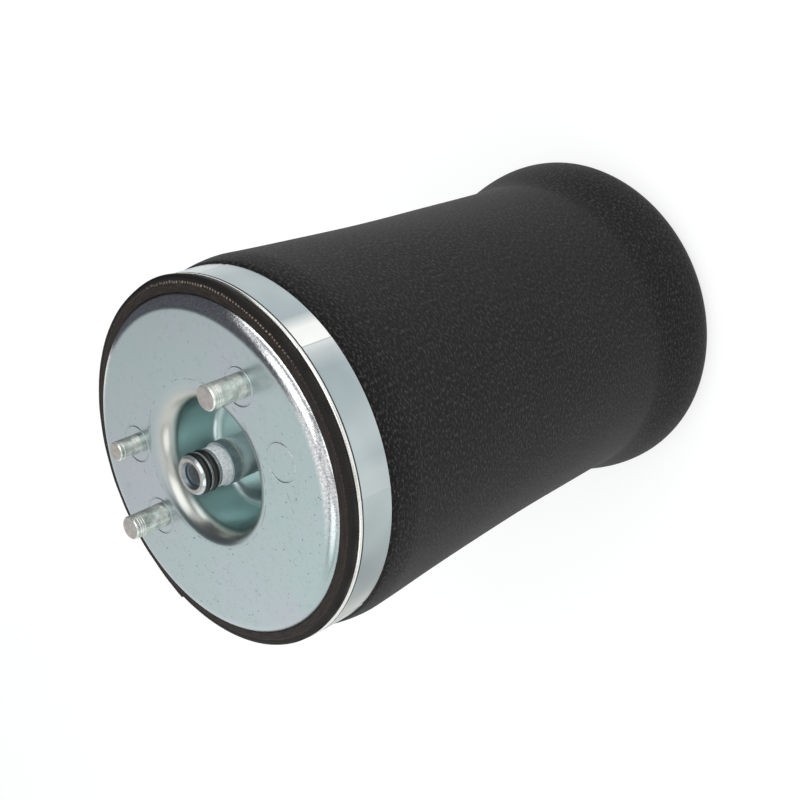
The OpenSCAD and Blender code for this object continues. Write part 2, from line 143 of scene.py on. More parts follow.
# A profile (radius, height) carried round an axis through (x, y): each point is
# (x + radius cos a, y + radius sin a, height), where shape may change radius and height by angle.
# Rows follow the profile, columns go round and close on themselves, and rows whose points coincide, as on
# the axis, are merged. "flow" holds mm round the axis and along the profile at each face corner, and
# "rest" each point's place, so that a pattern stays on a piece that is blended between two bodies
def turned(name, profile, material, segments=192, at=(0, 0), shape=None, closedRows=True, sharpDegrees=50):
    rows = len(profile)
    a = np.linspace(0, 2 * math.pi, segments, endpoint=False)[None]
    radius, height = (np.repeat(profile[:, i:i + 1], segments, 1) for i in (0, 1))
    if shape:
        radius, height = shape(a, radius, height)
    grid = np.stack([at[0] + radius * np.cos(a), at[1] + radius * np.sin(a), height], -1)
    index = np.arange(rows * segments).reshape(rows, segments)
    lastRow = rows if closedRows else rows - 1
    r0, r1 = np.arange(lastRow), (np.arange(lastRow) + 1) % rows
    c0, c1 = np.arange(segments), (np.arange(segments) + 1) % segments
    faces = np.stack([index[np.ix_(r0, c0)], index[np.ix_(r0, c1)],
                      index[np.ix_(r1, c1)], index[np.ix_(r1, c0)]], -1).reshape(-1, 4)
    mesh = bpy.data.meshes.new(name)
    mesh.from_pydata(grid.reshape(-1, 3) * mm, [], faces)
    steps = np.linalg.norm(np.diff(profile, axis=0, append=profile[:1]), axis=1)
    along = np.concatenate([[0], np.cumsum(steps)])
    roundStep = 2 * math.pi * profile[:, 0].max() / segments
    corners = (lastRow, segments, 4)
    u = np.broadcast_to(np.stack([c0, c0 + 1, c0 + 1, c0], -1) * roundStep, corners)
    v = np.stack([along[r0], along[r0], along[r0 + 1], along[r0 + 1]], -1)
    v = np.broadcast_to(v[:, None], corners)
    flow = mesh.attributes.new("flow", "FLOAT_VECTOR", "CORNER")
    flow.data.foreach_set("vector", np.stack([u, v, 0 * u], -1).astype(np.float32).ravel())
    rest = mesh.attributes.new("rest", "FLOAT_VECTOR", "POINT")
    rest.data.foreach_set("vector", grid.astype(np.float32).ravel() * np.float32(mm))
    merge(mesh, 1e-7)
    markSharp(mesh, sharpDegrees)
    mesh.materials.append(material)
    return newObject(name, mesh)


# Gives another material to the faces of a piece whose middle, as radius and height, passes the test
def finishBand(piece, material, test):
    count = len(piece.data.polygons)
    centre, index = np.empty(count * 3), np.empty(count, np.int32)
    piece.data.polygons.foreach_get("center", centre)
    piece.data.polygons.foreach_get("material_index", index)
    x, y, z = centre.reshape(count, 3).T / mm
    index[test(np.hypot(x, y), z)] = len(piece.data.materials)
    piece.data.materials.append(material)
    piece.data.polygons.foreach_set("material_index", index)


def refinish(mesh, material):
    mesh.materials.clear()
    mesh.materials.append(material)


# Cuts the given solids out of a piece, then marks its sharp edges again
def cutOut(piece, cutters, sharpDegrees=30):
    for cutter in cutters:
        cut = piece.modifiers.new("cut", "BOOLEAN")
        cut.operation, cut.solver, cut.object = "DIFFERENCE", "EXACT", cutter
    made = bpy.data.meshes.new_from_object(piece.evaluated_get(bpy.context.evaluated_depsgraph_get()))
    piece.modifiers.clear()
    piece.data = made
    markSharp(made, sharpDegrees)
    for cutter in cutters:
        bpy.data.objects.remove(cutter)


# Materials: colours are written as sRGB hex, and the sizes of patterns in millimetres

def linear(hexColour):
    parts = [int(hexColour[i:i + 2], 16) / 255 for i in (1, 3, 5)]
    return [p / 12.92 if p <= 0.04045 else ((p + 0.055) / 1.055) ** 2.4 for p in parts] + [1]


# Adds a node: settings are its properties, and inputs are values or the sockets to link
def add(tree, kind, inputs=None, **settings):
    made = tree.nodes.new("ShaderNode" + kind)
    for key, value in settings.items():
        setattr(made, key, value)
    for key, value in (inputs or {}).items():
        if isinstance(value, bpy.types.NodeSocket):
            tree.links.new(value, made.inputs[key])
        else:
            made.inputs[key].default_value = value
    return made


# A material whose shader has the given values, each named as its socket is
def newMaterial(name, **values):
    material = bpy.data.materials.new(name)
    material.use_nodes = True
    tree = material.node_tree
    shader = tree.nodes["Principled BSDF"]
    for key, value in values.items():
        shader.inputs[key.replace("_", " ")].default_value = value
    return material, tree, shader


def connect(tree, shader, colour, normal):
    tree.links.new(colour, shader.inputs["Base Color"])
    tree.links.new(normal, shader.inputs["Normal"])


def objectPlace(tree):
    return add(tree, "TexCoord").outputs["Object"]


def attribute(tree, name):
    return add(tree, "Attribute", attribute_name=name).outputs["Vector"]


def calculate(tree, operation, a, b=0, **settings):
    return add(tree, "Math", {0: a, 1: b}, operation=operation, **settings).outputs[0]


def multiply(tree, product, *others):
    for other in others:
        product = calculate(tree, "MULTIPLY", product, other)
    return product


# Goes from low to high while the value goes from start to end, and no further
def between(tree, value, start, end, low=0, high=1):
    return add(tree, "MapRange", {0: value, 1: start, 2: end, 3: low, 4: high}).outputs[0]


def partsOf(tree, vector):
    return add(tree, "SeparateXYZ", {0: vector}).outputs


# How far a place in metres lies towards an azimuth a: x cos a + y sin a
def towards(tree, parts, azimuth):
    a = math.radians(azimuth)
    east, north = multiply(tree, parts[0], math.cos(a)), multiply(tree, parts[1], math.sin(a))
    return calculate(tree, "ADD", east, north)


# Distance in metres of a place from an upright line through (x, y) in mm
def distanceFrom(tree, place, x, y):
    level = add(tree, "Mapping", {"Vector": place, "Location": (-x * mm, -y * mm, 0), "Scale": (1, 1, 0)})
    return add(tree, "VectorMath", {0: level.outputs[0]}, operation="LENGTH").outputs["Value"]


# Noise with features of the given size in mm, at a place in metres
def noise(tree, place, featureMm, detail, roughness=0.5):
    return add(tree, "TexNoise", {"Vector": place, "Scale": 1 / (featureMm * mm), "Detail": detail,
                                  "Roughness": roughness}).outputs["Fac"]


# Noise that runs round the axis in fine rings, because the place is squeezed across it
def ringNoise(tree, place, featureMm, detail, squeeze=0.02):
    level = add(tree, "Mapping", {"Vector": place, "Scale": (squeeze, squeeze, 1)}).outputs[0]
    return noise(tree, level, featureMm, detail)


# Noise on "flow", in mm: its features have one size round the piece and another along its profile
def flowNoise(tree, flow, featuresMm, detail, roughness):
    scale = [1 / size for size in featuresMm] + [1]
    level = add(tree, "Mapping", {"Vector": flow, "Scale": scale}).outputs[0]
    return add(tree, "TexNoise", {"Vector": level, "Scale": 1, "Detail": detail,
                                  "Roughness": roughness}).outputs["Fac"]


# Colour ramp from (position, hex or grey) stops
def ramp(tree, factor, stops):
    made = add(tree, "ValToRGB", {"Fac": factor})
    for i, (position, colour) in enumerate(stops):
        stop = made.color_ramp.elements[i] if i < 2 else made.color_ramp.elements.new(position)
        stop.position = position
        stop.color = linear(colour) if isinstance(colour, str) else [colour] * 3 + [1]
    return made.outputs["Color"]


# Two tones of a pattern, one up to start and one from end, blended in between
def mottle(tree, pattern, first, second, start=0.35, end=0.65):
    return ramp(tree, pattern, [(start, first), (end, second)])


# Colour ramp round the axis, with stops given in degrees
def rampRound(tree, turns, stops):
    return ramp(tree, turns, [(degrees / 360, value) for degrees, value in stops])


# Mixes two colours, each a hex value or a socket, by a factor
def mixColour(tree, factor, a, b, blend="MIX"):
    a, b = (linear(colour) if isinstance(colour, str) else colour for colour in (a, b))
    return add(tree, "Mix", {0: factor, 6: a, 7: b}, data_type="RGBA", blend_type=blend).outputs[2]


# A normal that shows height as a relief, depthMm from its lowest to its highest
def relief(tree, height, depthMm, **inputs):
    return add(tree, "Bump", {"Height": height, "Strength": 1, "Distance": depthMm * mm, **inputs}).outputs[0]


# Where drawn plate is marked, 0 to 1: specks and scratches from handling, fewer on one side, and the
# broken line that the press left round the well
def plateMarks(tree, place, parts):
    look = {"speckMm": 1.1, "speckFrom": (0.8, 0.83), "scratchMm": (0.34, 5), "scratchFrom": (0.72, 0.78),
            "scratchTurns": (0.4, 1.3, 2.5), "bend": 1.6, "few": 0.35, "fewBeyond": 25, "manyBefore": -35,
            "pressAt": (0.7, 1.8), "pressRadius": 34.8, "pressHalf": (0.1, 0.3), "pressShare": 0.8,
            "dashMm": 5, "dashFrom": (0.5, 0.6)}
    marks = between(tree, noise(tree, place, look["speckMm"], 0), *look["speckFrom"])
    for turn in look["scratchTurns"]:
        scale = [1 / size for size in look["scratchMm"]] + [0.05]
        drawn = add(tree, "Mapping", {"Vector": place, "Rotation": (0, 0, turn), "Scale": scale}).outputs[0]
        line = add(tree, "TexNoise", {"Vector": drawn, "Scale": 1 / mm, "Detail": 1,
                                      "Distortion": look["bend"]})
        scratches = between(tree, line.outputs["Fac"], *look["scratchFrom"])
        marks = calculate(tree, "MAXIMUM", marks, scratches)
    side = between(tree, parts[1], look["fewBeyond"] * mm, look["manyBefore"] * mm, look["few"])
    marks = multiply(tree, marks, side)
    off = calculate(tree, "SUBTRACT", distanceFrom(tree, place, *look["pressAt"]), look["pressRadius"] * mm)
    core, fade = (half * mm for half in look["pressHalf"])
    line = between(tree, calculate(tree, "ABSOLUTE", off), core, fade, look["pressShare"], 0)
    dash = between(tree, noise(tree, place, look["dashMm"], 2), *look["dashFrom"])
    return calculate(tree, "MAXIMUM", marks, multiply(tree, line, dash))


# Zinc plating with a clear passivation on drawn sheet, tinted here and there, with painted shade that darkens
# it towards one side. Where the sheet is bent, below the flat face, it was stretched, and on one side of the
# outer shoulder it has an orange peel of small facets. Their relief is real, and their pale and dark colours
# paint the highlight and glints that the lamps give there. The lip is a warmer grey and the well a bluer one.
# Each of these begins between two drops, which are depths under the flat face
def zincPlate():
    look = {"lilac": "#b9bec5", "teal": "#b1c2c3", "tintMm": 45, "fog": "#9ca7aa", "fogMm": 5,
            "fogFrom": (0.56, 0.75), "fogShare": 0.35, "paintedShadeEnd": 0.8, "litAzimuth": -70, "paintedShadeMm": 55,
            "lip": "#c3c4be", "well": "#b7cbca", "paintedGlintDark": "#bfc3c6", "paintedGlintPale": "#f0f1f1",
            "bentDrops": (0.05, 0.5), "lipDrops": (0.3, 2.6), "wellDrops": (3, 9), "lipEnd": 44,
            "shoulderStart": 54, "flatRough": 0.27, "lipRough": 0.28, "shoulderRough": 0.18,
            "peelMm": 0.9, "peelDepth": 0.05, "peelAzimuth": 55, "peelFrom": -8, "peelFull": 16,
            "peelElsewhere": 0.2, "scratch": "#7b8588", "waveMm": 14, "waveDepth": 0.02}
    material, tree, shader = newMaterial("passivated zinc plate", Metallic=1, Roughness=look["flatRough"])
    place = objectPlace(tree)
    parts = partsOf(tree, place)

    def below(drops):
        return between(tree, parts[2], *((flatHeight - drop) * mm for drop in drops))

    bent = below(look["bentDrops"])
    outer = between(tree, distanceFrom(tree, place, 0, 0), look["lipEnd"] * mm, look["shoulderStart"] * mm)
    inner = calculate(tree, "SUBTRACT", 1, outer)
    toPeel = towards(tree, parts, look["peelAzimuth"])
    peeled = between(tree, toPeel, look["peelFrom"] * mm, look["peelFull"] * mm)
    # Where the peel's relief is full, and where its highlight and glints are painted
    peelAndGlintsOn = multiply(tree, bent, outer, peeled)
    colour = mottle(tree, noise(tree, place, look["tintMm"], 3), look["lilac"], look["teal"], end=0.62)
    fog = between(tree, noise(tree, place, look["fogMm"], 5, 0.7), *look["fogFrom"], 0, look["fogShare"])
    colour = mixColour(tree, fog, colour, look["fog"])
    # Painted shade: the colour is darkened on one side of the plate, most at the end away from the given
    # azimuth
    towardsLit = towards(tree, parts, look["litAzimuth"])
    across = between(tree, towardsLit, -look["paintedShadeMm"] * mm, look["paintedShadeMm"] * mm)
    colour = mixColour(tree, 1, colour, ramp(tree, across, [(0, look["paintedShadeEnd"]), (1, 1)]), "MULTIPLY")
    for part in ("lip", "well"):
        colour = mixColour(tree, multiply(tree, below(look[part + "Drops"]), inner), colour, look[part])
    peel = noise(tree, place, look["peelMm"], 3, 0.75)
    # Painted highlight: the facets turn pale and dark with the same noise as the peel's relief, painting the
    # shoulder's highlight and glints
    paintedGlints = mottle(tree, peel, look["paintedGlintDark"], look["paintedGlintPale"], 0.4, 0.62)
    colour = mixColour(tree, peelAndGlintsOn, colour, paintedGlints)
    onFlat = calculate(tree, "SUBTRACT", plateMarks(tree, place, parts), bent, use_clamp=True)
    colour = mixColour(tree, onFlat, colour, look["scratch"])
    shoulderRough = between(tree, peeled, 0, 1, look["flatRough"], look["shoulderRough"])
    bentRough = between(tree, outer, 0, 1, look["lipRough"], shoulderRough)
    rough = between(tree, bent, 0, 1, look["flatRough"], bentRough)
    tree.links.new(rough, shader.inputs["Roughness"])
    wave = relief(tree, noise(tree, place, look["waveMm"], 1), look["waveDepth"])
    raised = multiply(tree, peel, bent, between(tree, peelAndGlintsOn, 0, 1, look["peelElsewhere"]))
    connect(tree, shader, colour, relief(tree, raised, look["peelDepth"], Normal=wave))
    return material


# Zinc on turned or headed steel: fine rings from the tool run round the axis and catch the light. Where
# the passivation film is thick, bare is below 1, and the film scatters the rest of the light
def turnedSteel(name, pale, deep, roughness, ringMm, ringDepth, patchMm, bare=1):
    material, tree, shader = newMaterial(name, Metallic=bare, Roughness=roughness)
    place = objectPlace(tree)
    colour = mottle(tree, noise(tree, place, patchMm, 3), deep, pale)
    connect(tree, shader, colour, relief(tree, ringNoise(tree, place, ringMm, 2), ringDepth))
    return material


# Zinc over a rolled knurl: small raised grains that scatter the light
def knurledSteel():
    look = {"pale": "#fafcfd", "deep": "#cfd5d9", "grainMm": 0.9, "grainDepth": 0.2, "rough": 0.45,
            "bare": 0.15}
    material, tree, shader = newMaterial("zinc plated knurl", Metallic=look["bare"], Roughness=look["rough"])
    grain = noise(tree, objectPlace(tree), look["grainMm"], 2)
    colour = mottle(tree, grain, look["deep"], look["pale"])
    connect(tree, shader, colour, relief(tree, grain, look["grainDepth"]))
    return material


# Bright zinc on rolled steel strip. At each line where two crimping dies met, a pale stretch beyond it
# paints a highlight, and a darker line on it paints shade. Two ramps say how much of each, by how far along a
# die's stretch a point lies, 0 to 1, and a third weighs them by degrees round the ring, strongest on the side
# that the lamps light, while "worn" tints one side. Painted shade darkens the groove under the upper rolled
# edge, and a painted highlight makes the edge above it pale
def crimpStrip():
    look = {"pale": "#b5c0c1", "deep": "#99a5a9", "blotchMm": 40, "dieHighlightColour": "#f4f5f1",
            "dieLineShade": "#98a4a2",
            "dieHighlight": ((0, 1), (0.13, 0.9), (0.23, 0), (0.82, 0), (0.94, 0.3), (0.999, 0.6)),
            "line": ((0, 0.8), (0.006, 0), (0.994, 0), (0.999, 0.8)),
            "underLamps": ((0, 0.2), (12, 1), (35, 1), (60, 0.25), (325, 0.2)),
            "worn": ((0, "#ffffff"), (210, "#ffffff"), (255, "#d4d2c9"), (300, "#e0dfd8"), (335, "#ffffff")),
            "edge": "#e8e9e4", "edgeHighlightLift": 0.3, "groove": "#33383a", "grooveSink": 0.07, "grooveHalf": 0.22,
            "grainMm": 0.5, "grainDepth": 0.003, "rough": 0.24}
    material, tree, shader = newMaterial("bright zinc strip", Metallic=1, Roughness=look["rough"])
    place = objectPlace(tree)
    around = partsOf(tree, attribute(tree, "flow"))[0]
    girth = 2 * math.pi * crimp["outer"]
    dies = add(tree, "Math", {0: around, 1: crimp["dies"] / girth, 2: -crimp["first"] * crimp["dies"] / 360},
               operation="MULTIPLY_ADD").outputs[0]
    share = calculate(tree, "FRACT", dies)
    turns = multiply(tree, around, 1 / girth)
    # Weights by degrees round the ring for the painted highlight and shade at the die joints, strongest where
    # the lamps fall
    underLamps = rampRound(tree, turns, look["underLamps"])
    colour = mottle(tree, noise(tree, place, look["blotchMm"], 2), look["deep"], look["pale"])
    # Painted highlight: a pale stretch after each die joint
    dieHighlight = multiply(tree, ramp(tree, share, look["dieHighlight"]), underLamps)
    colour = mixColour(tree, dieHighlight, colour, look["dieHighlightColour"])
    # Painted shade: a darker line on each die joint
    line = multiply(tree, ramp(tree, share, look["line"]), underLamps)
    colour = mixColour(tree, line, colour, look["dieLineShade"])
    colour = mixColour(tree, 1, colour, rampRound(tree, turns, look["worn"]), "MULTIPLY")
    height = partsOf(tree, place)[2]
    groove = ringTop - crimp["grooveDrop"]
    # Painted highlight: the rolled edge above the groove is coloured pale
    rolled = between(tree, height, groove * mm, (groove + look["edgeHighlightLift"]) * mm)
    colour = mixColour(tree, rolled, colour, look["edge"])
    # Painted shade: a dark band in the groove under the rolled edge
    off = calculate(tree, "SUBTRACT", height, (groove - look["grooveSink"]) * mm)
    off = calculate(tree, "ABSOLUTE", off)
    grooveShade = between(tree, off, look["grooveHalf"] * mm, look["grooveHalf"] * 2 * mm, 1, 0)
    colour = mixColour(tree, grooveShade, colour, look["groove"])
    grain = ringNoise(tree, place, look["grainMm"], 3, squeeze=0.03)
    connect(tree, shader, colour, relief(tree, grain, look["grainDepth"]))
    return material


# Cured rubber over cord: matt and nearly black, with a fine fabric-like grain running round the sleeve
def sleeveRubber():
    look = {"dark": "#030303", "mid": "#070707", "brown": "#0b0a08", "patchMm": 35, "fleck": "#413f3e",
            "fleckFrom": (0.5, 0.7), "grainMm": (1.7, 0.85), "grainDepth": 0.3}
    material, tree, shader = newMaterial("black rubber", Roughness=0.66, IOR=1.5, Sheen_Weight=0.05,
                                         Specular_IOR_Level=0.18)
    grain = flowNoise(tree, attribute(tree, "flow"), look["grainMm"], 3, 0.65)
    base = ramp(tree, noise(tree, attribute(tree, "rest"), look["patchMm"], 4, 0.6),
                [(0.35, look["dark"]), (0.55, look["mid"]), (0.75, look["brown"])])
    colour = mixColour(tree, between(tree, grain, *look["fleckFrom"]), base, look["fleck"])
    connect(tree, shader, colour, relief(tree, grain, look["grainDepth"]))
    return material


# The sleeve's cut end: black cover rubber bulging outside, brown-black plies inside, and between them
# the tips of the cords as a row of pale dots. "stray" moves the tips off their line, and "uneven" along
# it. "clean" says by degrees round the sleeve where they are free of rubber, and elsewhere they're smeared
# over. cordAt is the place of the cords along the profile, and roundMm the way once round, both as "flow"
def cutRubber(cordAt, roundMm):
    look = {"cover": "#171513", "coverEdge": (-0.5, 0.3), "ply": "#1b1815", "worn": "#3b322c",
            "plyMm": (6, 0.6), "plyDepth": 0.2, "cord": "#8d7d73", "cordHalf": 0.26, "pitchMm": 1.65,
            "tipFrom": (0.1, 0.6), "strayMm": 2.6, "stray": 1.1, "uneven": 2.4, "smeared": 0.1,
            "clean": ((12, 0), (28, 1), (74, 1), (90, 0.3), (120, 0))}
    material, tree, shader = newMaterial("cut cord rubber", Roughness=0.6, IOR=1.5, Specular_IOR_Level=0.25)
    flow = attribute(tree, "flow")
    around, along = partsOf(tree, flow)[:2]
    plies = flowNoise(tree, flow, look["plyMm"], 4, 0.7)
    inner = mottle(tree, plies, look["ply"], look["worn"], 0.4, 0.7)
    past = between(tree, along, *(cordAt + way for way in look["coverEdge"]))
    base = mixColour(tree, past, look["cover"], inner)
    stray = flowNoise(tree, flow, (look["strayMm"], look["strayMm"]), 1, 0.5)
    stray = between(tree, stray, 0, 1, -look["stray"] / 2, look["stray"] / 2)
    off = calculate(tree, "SUBTRACT", calculate(tree, "ADD", along, stray), cordAt)
    onLine = between(tree, calculate(tree, "ABSOLUTE", off), look["cordHalf"], look["cordHalf"] * 2, 1, 0)
    moved = calculate(tree, "ADD", around, multiply(tree, stray, look["uneven"]))
    wave = calculate(tree, "SINE", multiply(tree, moved, 2 * math.pi / look["pitchMm"]))
    tips = between(tree, wave, *look["tipFrom"])
    clean = [(degrees, look["smeared"] + (1 - look["smeared"]) * share) for degrees, share in look["clean"]]
    shown = rampRound(tree, multiply(tree, around, 1 / roundMm), clean)
    colour = mixColour(tree, multiply(tree, onLine, tips, shown), base, look["cord"])
    connect(tree, shader, colour, relief(tree, plies, look["plyDepth"]))
    return material


# Plain solids with a moulded or foamed skin: a tone that wanders and a fine grain
def mouldedSkin(name, dark, pale, roughness, grainMm, grainDepth, patchMm=15):
    material, tree, shader = newMaterial(name, Roughness=roughness, IOR=1.5)
    place = objectPlace(tree)
    colour = mottle(tree, noise(tree, place, patchMm, 4), dark, pale, 0.3, 0.7)
    connect(tree, shader, colour, relief(tree, noise(tree, place, grainMm, 3, 0.6), grainDepth))
    return material


zinc = zincPlate()
pinSteel = turnedSteel("zinc plated pin steel", "#f4f6ee", "#c6cfc6", 0.26, 0.45, 0.004, 3, bare=0.72)
shearedEnd = turnedSteel("sheared steel end", "#bfbbb7", "#aba7a3", 0.5, 0.6, 0.002, 2)
nozzleSteel = turnedSteel("zinc plated turned steel", "#d3dadc", "#bac3c6", 0.2, 0.3, 0.005, 5, bare=0.8)
boredSteel = turnedSteel("bored steel", "#929da4", "#77828a", 0.42, 0.35, 0.012, 3)
collarSteel = turnedSteel("dull turned steel", "#9fb1b5", "#86989d", 0.4, 0.35, 0.012, 3, bare=0.65)
knurl = knurledSteel()
strip = crimpStrip()
rubber = sleeveRubber()
nitrile = mouldedSkin("nitrile rubber", "#070708", "#0e0e0f", 0.42, 0.5, 0.01)
nylon = mouldedSkin("glass filled nylon", "#2a2b2d", "#37383a", 0.5, 0.7, 0.03)
foam = mouldedSkin("microcellular polyurethane", "#b9a873", "#cdbd8a", 0.85, 0.8, 0.12)
print("materials made")


# The drawn plate: one profile from the well's hole over its rolled lip, the flat and the shoulder,
# down the gripped skirt and back underneath, a sheet's thickness away. The lip was drawn slightly off the
# axis. Its stamped rings and the pins' holes are cut out afterwards
def topPlate():
    form = {"off": (0.75, 1.78), "wellRadius": 26.5, "lip": 9.2, "fillet": 4.5, "draft": 6, "hole": 6.1,
            "flatInset": 0.3, "flatMoved": 1, "gripDepth": 0.6, "gripPitch": 4.2, "gripHalf": 0.9,
            "gripEnd": 1, "skirtInside": 3, "ringMark": 7.7, "ringWire": 0.42, "ringSink": 0.26,
            "pinFit": 0.04, "pinHole": (-4, 1)}
    lip, fillet, draft = form["lip"], form["fillet"], form["draft"]
    thickness, shoulder = plateForm["thickness"], plateForm["shoulder"]
    tilt = math.radians(draft)
    lipAt = np.array([form["wellRadius"] + lip, flatHeight - lip])
    drop = (lipAt[1] + lip * math.sin(tilt) - wellFloor - fillet * (1 - math.sin(tilt))) / math.cos(tilt)
    filletAt = (lipAt[0] - (lip + fillet) * math.cos(tilt) - drop * math.sin(tilt), wellFloor + fillet)
    shoulderAt = (plateRadius - shoulder, flatHeight - shoulder)

    def skin(offset):
        ends = (lipAt[0] + form["flatInset"], shoulderAt[0] - form["flatInset"])
        flat = [[r, flatHeight - offset] for r in ends]
        return np.concatenate([arc(*filletAt, fillet + offset, -90, -draft, 14),
                               arc(*lipAt, lip - offset, 180 - draft, 90, 30), flat,
                               arc(*shoulderAt, shoulder - offset, 90, 0, 24)])

    grips = [(plateRadius - form["gripDepth"] * (side == 0),
              ringTop - i * form["gripPitch"] - side * form["gripHalf"])
             for i in (1, 2, 3) for side in (-1, 0, 1)]
    inner = plateRadius - thickness
    edge = roundedLine([(plateRadius, grips[-1][1] - form["gripEnd"]), (plateRadius, skirtHeight, 0.8),
                        (inner, skirtHeight, 0.5), (inner, skirtHeight + form["skirtInside"])], closed=False)
    outline = np.concatenate([[[form["hole"], wellFloor - thickness], [form["hole"], wellFloor]], skin(0),
                              grips, edge, skin(thickness)[::-1]])[::-1]

    # Points from the well's wall to the lip's top move off the axis, more the further out they lie
    def drawnOff(a, radius, height):
        share = progress(radius, form["wellRadius"], lipAt[0]) * (radius < lipAt[0] + form["flatMoved"])
        push = form["off"][0] * np.cos(a) + form["off"][1] * np.sin(a)
        return radius + push * eased(share), height

    plate = turned("drawn_plate", outline, zinc, segments=256, shape=drawnOff, sharpDegrees=30)
    wireHeight = flatHeight + form["ringWire"] - form["ringSink"]
    wire = arc(form["ringMark"], wireHeight, form["ringWire"], 0, 337.5, 16)
    cutters = []
    for i, node in enumerate((*pinRadius, None)):
        at = pinAxis(node) if node else blankMark
        cutters.append(turned("markCutter%d" % i, wire, zinc, segments=72, at=at))
        if node:
            r = pinRadius[node] + form["pinFit"]
            low, high = (flatHeight + rise for rise in form["pinHole"])
            hole = np.array([[0, low], [r, low], [r, high], [0, high]])
            cutters.append(turned("holeCutter%d" % i, hole, zinc, segments=72, at=at))
    cutOut(plate, cutters)
    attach(plate, "upper_mount")
    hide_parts("top_plate")


def pinAxis(node):
    low, high = boxOf(node)
    return (low[:2] + high[:2]) / 2


# A pin: head under the plate, shank with fine serrations at its foot and rolled rings near its tip. Each
# corner of a rolled ring is (rise, share of the ring's depth, fillet), from its lower edge up
def fixingPin(node, tipRings):
    form = {"head": 6, "headThickness": 2.5, "chamfer": 0.5, "holeDrop": 0.2, "endSkin": 0.1,
            "footStart": 0.8, "footPitch": 0.9, "footDepth": 0.09, "footWidth": 0.5, "footRings": 4,
            "ringStart": 1.6, "ringPitch": 1.1, "ringDepth": 0.12,
            "ring": ((-0.45, 0, 0.08), (-0.3, 1, 0.1), (-0.1, 1, 0.1), (0.05, 0, 0.08))}
    r, tip = pinRadius[node], boxOf(node)[1][2]
    under = flatHeight - plateForm["thickness"]
    headBottom = under - form["headThickness"]
    corners = [(0, headBottom), (form["head"], headBottom, 0.5), (form["head"], under, 0.3), (r, under),
               (r, flatHeight - form["holeDrop"])]
    for i in range(form["footRings"]):
        z = flatHeight + form["footStart"] + i * form["footPitch"]
        corners += [(r, z), (r - form["footDepth"], z + form["footWidth"] / 2, 0.1),
                    (r, z + form["footWidth"])]
    for i in range(tipRings)[::-1]:
        z = tip - form["ringStart"] - i * form["ringPitch"]
        corners += [(r - form["ringDepth"] * sunk, z + rise, fillet) for rise, sunk, fillet in form["ring"]]
    corners += [(r, tip - form["chamfer"], 0.2), (r - form["chamfer"], tip, 0.2), (0, tip)]
    pin = turned(node + "_turned", roundedLine(corners, closed=False), pinSteel, segments=72,
                 at=pinAxis(node), closedRows=False)
    finishBand(pin, shearedEnd, lambda radius, height: height > tip - form["endSkin"])
    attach(pin, "upper_mount")
    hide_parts(node)


# The nozzle: chamfered tip with a stepped mouth, two O-ring grooves, a narrow groove, a knurled neck, the
# collar with a flange at its foot, the body and the stem
def airNozzle():
    form = {"neck": 8, "neckLength": 14.4, "chamfer": 0.9, "lead": 1.4, "land": 1, "grooveWidth": 2.89,
            "grooveFloor": 5.88, "narrow": 0.45, "narrowDepth": 0.5, "narrowLand": 0.75, "collar": 9.1,
            "collarHeight": 5.2, "collarStep": 0.12, "flangeRise": (0.35, 0.9, 1.2), "body": 8.75,
            "seal": 1.2, "stem": 6, "bore": 4, "mouth": 4.6, "mouthDepth": 2.2, "mouthEdge": 1.1,
            "bandGap": 0.3, "skin": 0.1, "flangeSkin": 0.02}
    neck, collar, body, stem = form["neck"], form["collar"], form["body"], form["stem"]
    tip, bore, mouth = nozzleTip, form["bore"], form["mouth"]
    mouthRim, mouthFloor = mouth + form["mouthEdge"], tip - form["mouthDepth"]
    collarTop = tip - form["neckLength"]
    collarBottom = collarTop - form["collarHeight"]
    flange = [collarBottom + rise for rise in form["flangeRise"]]
    turnedDown = collar - form["collarStep"]
    seat = wellFloor + form["seal"]
    corners = [(bore, nozzleBottom), (stem, nozzleBottom, 0.5), (stem, seat), (body, seat, 0.3),
               (body, collarBottom, 0.1), (collar, flange[0], 0.15), (collar, flange[1]),
               (turnedDown, flange[2]), (turnedDown, collarTop, 0.12), (neck, collarTop, 0.2)]
    top = [tip - form["lead"] - i * (form["grooveWidth"] + form["land"]) for i in (0, 1)]
    low = [t - form["grooveWidth"] for t in top]
    narrowTop = low[1] - form["narrowLand"]
    narrowLow, narrowFloor = narrowTop - form["narrow"], neck - form["narrowDepth"]
    corners += [(neck, narrowLow, 0.06), (narrowFloor, narrowLow, 0.1), (narrowFloor, narrowTop, 0.1),
                (neck, narrowTop, 0.06)]
    floor = form["grooveFloor"]
    for i in (1, 0):
        corners += [(neck, low[i], 0.12), (floor, low[i], 0.3), (floor, top[i], 0.3), (neck, top[i], 0.12)]
    corners += [(neck, tip - form["chamfer"], 0.15), (neck - form["chamfer"], tip, 0.12),
                (mouthRim, tip, 0.12), (mouth, tip - form["mouthEdge"], 0.15), (mouth, mouthFloor, 0.1),
                (bore, mouthFloor, 0.1)]
    nozzle = turned("turned_nozzle", roundedLine(corners), nozzleSteel, segments=144)
    gap, skin = form["bandGap"], form["skin"]
    bands = ((knurl, lambda r, h: (h > collarTop + gap) & (h < narrowLow - gap) & (r > neck - skin)),
             (collarSteel, lambda r, h: (r > neck + gap) & (h > flange[2])),
             (pinSteel, lambda r, h: (r > body + form["flangeSkin"]) & (h < flange[2])),
             (boredSteel, lambda r, h: (r < mouthRim) & (h < tip - skin) & (h > collarTop)),
             (shearedEnd, lambda r, h: (h > tip - skin) & (r > mouthRim - skin)))
    for steel, test in bands:
        finishBand(nozzle, steel, test)
    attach(nozzle, "upper_mount")
    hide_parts("air_nozzle")


